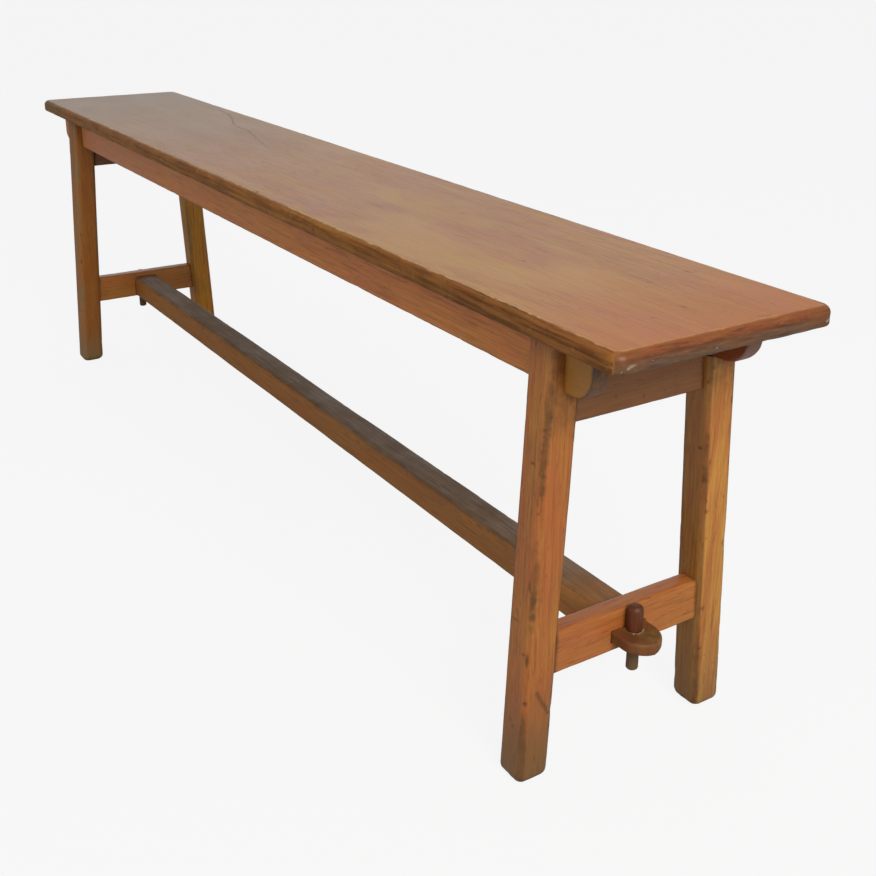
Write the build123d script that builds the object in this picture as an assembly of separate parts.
from build123d import *
import os

# Knock-down wooden trestle bench, millimetres: a lift-off seat unit on two trestles,
# which are joined by a pegged stretcher.
# Origin at floor level, centre of the plan. +X along the length (right), +Z up, front = -Y.
# sx is the side (-1 left, 1 right); sy is the face (-1 front, 1 rear).

# ---------------------------------------------------------------- dimensions
LIFT_GAP = 0.3          # clearance between the lift-off seat unit and the trestles
OVERSHOOT = 2.0         # how far a cutter runs past the faces it opens
FUSE_OVERLAP = 1.0      # overlap of two bodies that are fused

SEAT_H = 450.0          # floor to seat top
SEAT_L = 1546.0
SEAT_W = 242.0
SEAT_T = 18.0
SEAT_CORNER_R = 14.0    # plan radius at the four corners
SEAT_TOP_R = 8.0        # round-over on the top arris
SEAT_BOT_R = 3.0        # easing on the bottom arris
UNDER = SEAT_H - SEAT_T     # seat underside

APRON_Y_OUT = 94.0
APRON_T = 19.0
APRON_H = 49.0
APRON_X0 = -741.0                       # left end of both aprons
APRON_X1 = {-1: 714.5, 1: 721.0}        # right end, front and rear
APRON_END_R = {-1: 24.0, 1: 30.0}       # rounding of the lower end corners, front and rear
APRON_LOW_R = 1.5                       # rounding of the lower long arrises
HOUSING_D = 3.0                         # shallow housing in the outer face for each leg cheek
APRON_Z0 = UNDER - APRON_H
APRON_Y_IN = APRON_Y_OUT - APRON_T
HOUSING_Y = APRON_Y_OUT - HOUSING_D     # floor of the housing

LEG_S = 35.0            # square leg section
LEG_R = 7.0             # rounding of the long arrises
FOOT_R = 6.0            # rounding round the foot end
LEG_X_OUT = 679.5
LEG_Y_TOP = 106.2       # outer Y face at the seat underside
LEG_Y_FOOT = 127.1      # outer Y face at the floor
LEG_X_IN = LEG_X_OUT - LEG_S
LEG_TOP_Z = UNDER - LIFT_GAP
LEG_SPLAY = (LEG_Y_FOOT - LEG_Y_TOP) / UNDER    # outward Y per unit of drop
NOTCH_Y = HOUSING_Y + LIFT_GAP      # the notch in the leg top clears the apron
NOTCH_Z = APRON_Z0 - LIFT_GAP
NOTCH_CUT_Y = 40.0                  # inner end of the notch cutter, clear of the leg

LOW_RAIL_T = 21.5
LOW_RAIL_X_OUT = 674.5
LOW_RAIL_X_IN = LOW_RAIL_X_OUT - LOW_RAIL_T
LOW_RAIL_Z0 = 106.0
LOW_RAIL_Z1 = 149.0
LOW_RAIL_TOP_R = 4.0
LOW_RAIL_BOT_R = 2.0
LOW_RAIL_BLANK_Y = 96.0     # half length before the legs trim the ends

TOP_RAIL_T = 22.0
TOP_RAIL_RECESS = 9.0       # set-back from the leg's outer X face
TOP_RAIL_X_OUT = LEG_X_OUT - TOP_RAIL_RECESS
TOP_RAIL_Z0 = 349.0
TOP_RAIL_BOT_R = 2.0
TOP_RAIL_BLANK_Y = 82.0     # half length before the legs trim the ends

TENON_T = 10.0          # rail tenon thickness (X)
TENON_L = 22.0          # rail tenon length into the leg
TENON_ROOT = 6.0        # how far the tenon block runs back into the rail
LOW_SHOULDER = 7.0      # lower tenon set in from the rail's top and underside
# tenons: distance of the centre from x = 0, bottom z, top z
LOW_TENON = (LOW_RAIL_X_OUT - LOW_RAIL_T / 2,
             LOW_RAIL_Z0 + LOW_SHOULDER, LOW_RAIL_Z1 - LOW_SHOULDER)
TOP_TENON = (TOP_RAIL_X_OUT - TOP_RAIL_T / 2, TOP_RAIL_Z0 + 4.0, APRON_Z0 - 8.0)

STR_W = 42.0            # stretcher width (Y)
STR_Z0 = 105.5
STR_Z1 = 141.5
STR_R = 7.0             # rounding of the long arrises

TONGUE_Z0 = 116.0       # tongue: the through tenon at each end of the stretcher
TONGUE_Z1 = 128.5
TONGUE_TIP = 712.0
TONGUE_STRAIGHT = 689.0     # where the half-ellipse end starts
TONGUE_ROOT = 20.0          # how far the tongue runs back into the bar
TONGUE_RIM_R = 2.5
TONGUE_GAP = 0.2            # clearance in the mortise

PEG_X = 682.7
PEG_L = 68.5
PEG_BOTTOM = {-1: 77.0, 1: 86.0}    # lower end of the left and right pegs
PEG_HEAD_R = 8.0
PEG_HEAD_ROUND = 5.0
PEG_SHANK_R = 6.0
PEG_SHANK_ROUND = 2.0
PEG_BORE_R = 6.05
PEG_BORE_H = 40.0       # height of the bore cutter
PEG_SEAT_GAP = 0.05     # gap between the head and the top of the tongue

DOWEL_R = 4.0           # blind dowels between aprons and seat
DOWEL_Z0 = 414.0
DOWEL_Z1 = 442.0
DOWEL_CHAMFER = 0.8
DOWEL_END_GAP = 1.0     # extra hole depth at each end
DOWEL_PITCH = 300.0
DOWEL_X = [i * DOWEL_PITCH for i in range(-2, 3)]
DOWEL_Y = (APRON_Y_IN + HOUSING_Y) / 2


# ---------------------------------------------------------------- helpers
def block(x_span, y_span, z_span):
    """Box filling three (low, high) spans."""
    spans = (x_span, y_span, z_span)
    size = [high - low for low, high in spans]
    centre = [(low + high) / 2 for low, high in spans]
    return Pos(*centre) * Box(*size)


def mirrored(sign, a, b):
    """The span between a and b, on the side given by the sign."""
    return sorted((sign * a, sign * b))


def about_zero(half):
    return -half, half


def upright(radius, z0, z1, x=0, y=0):
    """Vertical cylinder from z0 to z1."""
    body = Cylinder(radius, z1 - z0, align=(Align.CENTER, Align.CENTER, Align.MIN))
    return Pos(x, y, z0) * body


def fillet_at(body, axis, z, radius):
    """Fillet the edges that run along the axis at height z."""
    edges = [e for e in body.edges().filter_by(axis) if abs(e.center().Z - z) < 0.01]
    return fillet(edges, radius)


def one(shape):
    """The only solid of the shape."""
    solids = shape.solids()
    assert len(solids) == 1, len(solids)
    return solids[0]


# ---------------------------------------------------------------- legs and rail tenons
def raw_leg(sx, sy):
    """Uncut leg, sheared outwards towards the floor."""
    centre_x = sx * (LEG_X_OUT - LEG_S / 2)
    centre_y = sy * (LEG_Y_FOOT - LEG_S / 2)
    section = Pos(centre_x, centre_y, 0) * RectangleRounded(LEG_S, LEG_S, LEG_R)
    rise = Vector(0, -sy * LEG_SPLAY * LEG_TOP_Z, LEG_TOP_Z)
    body = Solid.extrude(section.faces()[0], rise)
    foot = body.faces().sort_by(Axis.Z)[0]
    return one(fillet(foot.edges(), FOOT_R))


raw_legs = {(sx, sy): raw_leg(sx, sy) for sx in (-1, 1) for sy in (-1, 1)}


def leg_y_in(z):
    """Distance of the leg's inner Y face from the centre plane at height z."""
    return LEG_Y_FOOT - LEG_S - LEG_SPLAY * z


def tenon_block(sx, sy, tenon):
    """Tenon body, which also cuts its mortise in the leg."""
    centre_x, z0, z1 = tenon
    shoulder = leg_y_in(z1)
    return block(mirrored(sx, centre_x - TENON_T / 2, centre_x + TENON_T / 2),
                 mirrored(sy, shoulder - TENON_ROOT, shoulder + TENON_L),
                 (z0, z1))


def leg(sx, sy):
    notch = block(mirrored(sx, LEG_X_IN - OVERSHOOT, LEG_X_OUT + OVERSHOOT),
                  mirrored(sy, NOTCH_Y, NOTCH_CUT_Y),
                  (NOTCH_Z, UNDER + OVERSHOOT))
    body = raw_legs[(sx, sy)] - notch
    for tenon in (LOW_TENON, TOP_TENON):
        body = body - tenon_block(sx, sy, tenon)
    return one(body)


# ---------------------------------------------------------------- cross rails
def trim_to_legs(body, sx):
    """Cut the rail blank by the legs and keep the piece between them."""
    body = body - raw_legs[(sx, -1)] - raw_legs[(sx, 1)]
    return body.solids().sort_by(SortBy.VOLUME)[-1]


def add_tenons(body, sx, tenon):
    for sy in (-1, 1):
        body = body + tenon_block(sx, sy, tenon)
    return body


def lower_rail(sx):
    """Lower cross rail with the through mortise for the tongue."""
    rail = block(mirrored(sx, LOW_RAIL_X_IN, LOW_RAIL_X_OUT),
                 about_zero(LOW_RAIL_BLANK_Y), (LOW_RAIL_Z0, LOW_RAIL_Z1))
    rail = fillet_at(rail, Axis.Y, LOW_RAIL_Z1, LOW_RAIL_TOP_R)
    rail = fillet_at(rail, Axis.Y, LOW_RAIL_Z0, LOW_RAIL_BOT_R)
    rail = add_tenons(trim_to_legs(rail, sx), sx, LOW_TENON)
    mortise = block(mirrored(sx, LOW_RAIL_X_IN - OVERSHOOT, LOW_RAIL_X_OUT + OVERSHOOT),
                    about_zero(STR_W / 2 + TONGUE_GAP),
                    (TONGUE_Z0 - TONGUE_GAP, TONGUE_Z1 + TONGUE_GAP))
    return one(rail - mortise)


def upper_rail(sx):
    """Upper cross rail: a part between the legs and a part between the aprons."""
    x_span = mirrored(sx, TOP_RAIL_X_OUT - TOP_RAIL_T, TOP_RAIL_X_OUT)
    lower = block(x_span, about_zero(TOP_RAIL_BLANK_Y), (TOP_RAIL_Z0, NOTCH_Z))
    lower = fillet_at(lower, Axis.Y, TOP_RAIL_Z0, TOP_RAIL_BOT_R)
    lower = trim_to_legs(lower, sx)
    # the upper part stays clear of the aprons and no wider than the gap between the legs
    half = min(APRON_Y_IN - LIFT_GAP, leg_y_in(NOTCH_Z))
    upper = block(x_span, about_zero(half), (NOTCH_Z - FUSE_OVERLAP, LEG_TOP_Z))
    return one(add_tenons(lower + upper, sx, TOP_TENON))


# ---------------------------------------------------------------- stretcher and pegs
def tongue(sx):
    """Flat tongue with straight sides and a half-ellipse end in plan."""
    root = LOW_RAIL_X_IN - TONGUE_ROOT
    with BuildSketch(Plane.XY.offset(TONGUE_Z0)) as outline:
        with Locations((sx * (root + TONGUE_STRAIGHT) / 2, 0)):
            Rectangle(TONGUE_STRAIGHT - root, STR_W)
        with Locations((sx * TONGUE_STRAIGHT, 0)):
            Ellipse(TONGUE_TIP - TONGUE_STRAIGHT, STR_W / 2)
    body = extrude(outline.sketch, TONGUE_Z1 - TONGUE_Z0)
    rim = [e for e in body.edges()
           if e.geom_type != GeomType.LINE and abs(e.center().X) > TONGUE_STRAIGHT]
    return fillet(rim, TONGUE_RIM_R)


def stretcher():
    """Bar between the lower rails, with a bored tongue at each end."""
    bar = block(about_zero(LOW_RAIL_X_IN), about_zero(STR_W / 2), (STR_Z0, STR_Z1))
    bar = fillet(bar.edges().filter_by(Axis.X), STR_R)
    for sx in (-1, 1):
        bar = bar + tongue(sx)
        bore = Cylinder(PEG_BORE_R, PEG_BORE_H)
        bar = bar - Pos(sx * PEG_X, 0, (TONGUE_Z0 + TONGUE_Z1) / 2) * bore
    return one(bar)


def peg(sx):
    """Headed peg standing in the tongue's bore."""
    bottom = PEG_BOTTOM[sx]
    head_z = TONGUE_Z1 + PEG_SEAT_GAP
    head = upright(PEG_HEAD_R, head_z, bottom + PEG_L)
    head = fillet(head.edges().group_by(Axis.Z)[-1], PEG_HEAD_ROUND)
    shank = upright(PEG_SHANK_R, bottom, head_z + FUSE_OVERLAP)
    shank = fillet(shank.edges().group_by(Axis.Z)[0], PEG_SHANK_ROUND)
    return one(Pos(sx * PEG_X, 0, 0) * (head + shank))


# ---------------------------------------------------------------- seat unit
def cut_dowel_holes(body, sy):
    for x in DOWEL_X:
        body = body - upright(DOWEL_R, DOWEL_Z0 - DOWEL_END_GAP, DOWEL_Z1 + DOWEL_END_GAP,
                              x, sy * DOWEL_Y)
    return body


def dowel_set(sy):
    """The row of chamfered dowels in one apron."""
    dowel = upright(DOWEL_R, DOWEL_Z0, DOWEL_Z1)
    dowel = chamfer(dowel.edges().filter_by(GeomType.CIRCLE), DOWEL_CHAMFER)
    return Compound(children=[one(Pos(x, sy * DOWEL_Y, 0) * dowel) for x in DOWEL_X])


def apron(sy):
    body = block((APRON_X0, APRON_X1[sy]), mirrored(sy, APRON_Y_IN, APRON_Y_OUT),
                 (APRON_Z0, UNDER))
    body = fillet_at(body, Axis.Y, APRON_Z0, APRON_END_R[sy])
    body = fillet_at(body, Axis.X, APRON_Z0, APRON_LOW_R)
    for sx in (-1, 1):
        body = body - block(mirrored(sx, LEG_X_IN - LIFT_GAP, LEG_X_OUT + LIFT_GAP),
                            mirrored(sy, HOUSING_Y, APRON_Y_OUT + OVERSHOOT),
                            (APRON_Z0 - OVERSHOOT, UNDER + OVERSHOOT))
    return one(cut_dowel_holes(body, sy))


def seat_plank():
    plank = block(about_zero(SEAT_L / 2), about_zero(SEAT_W / 2), (UNDER, SEAT_H))
    plank = fillet(plank.edges().filter_by(Axis.Z), SEAT_CORNER_R)
    plank = fillet(plank.faces().sort_by(Axis.Z)[-1].edges(), SEAT_TOP_R)
    plank = fillet(plank.faces().sort_by(Axis.Z)[0].edges(), SEAT_BOT_R)
    for sy in (-1, 1):
        plank = cut_dowel_holes(plank, sy)
    return one(plank)


# ---------------------------------------------------------------- write the parts
SIDES = {-1: "left", 1: "right"}
FACES = {-1: "front", 1: "rear"}

parts = {"seat_plank": seat_plank(), "stretcher": stretcher()}
for sy, face in FACES.items():
    parts[f"{face}_apron"] = apron(sy)
    parts[f"{face}_apron_dowels"] = dowel_set(sy)
for sx, side in SIDES.items():
    for sy, face in FACES.items():
        parts[f"{side}_{face}_leg"] = leg(sx, sy)
    parts[f"{side}_lower_rail"] = lower_rail(sx)
    parts[f"{side}_upper_rail"] = upper_rail(sx)
    parts[f"{side}_peg"] = peg(sx)

os.makedirs("parts", exist_ok=True)
for name, shape in parts.items():
    export_step(shape, f"parts/{name}.step")
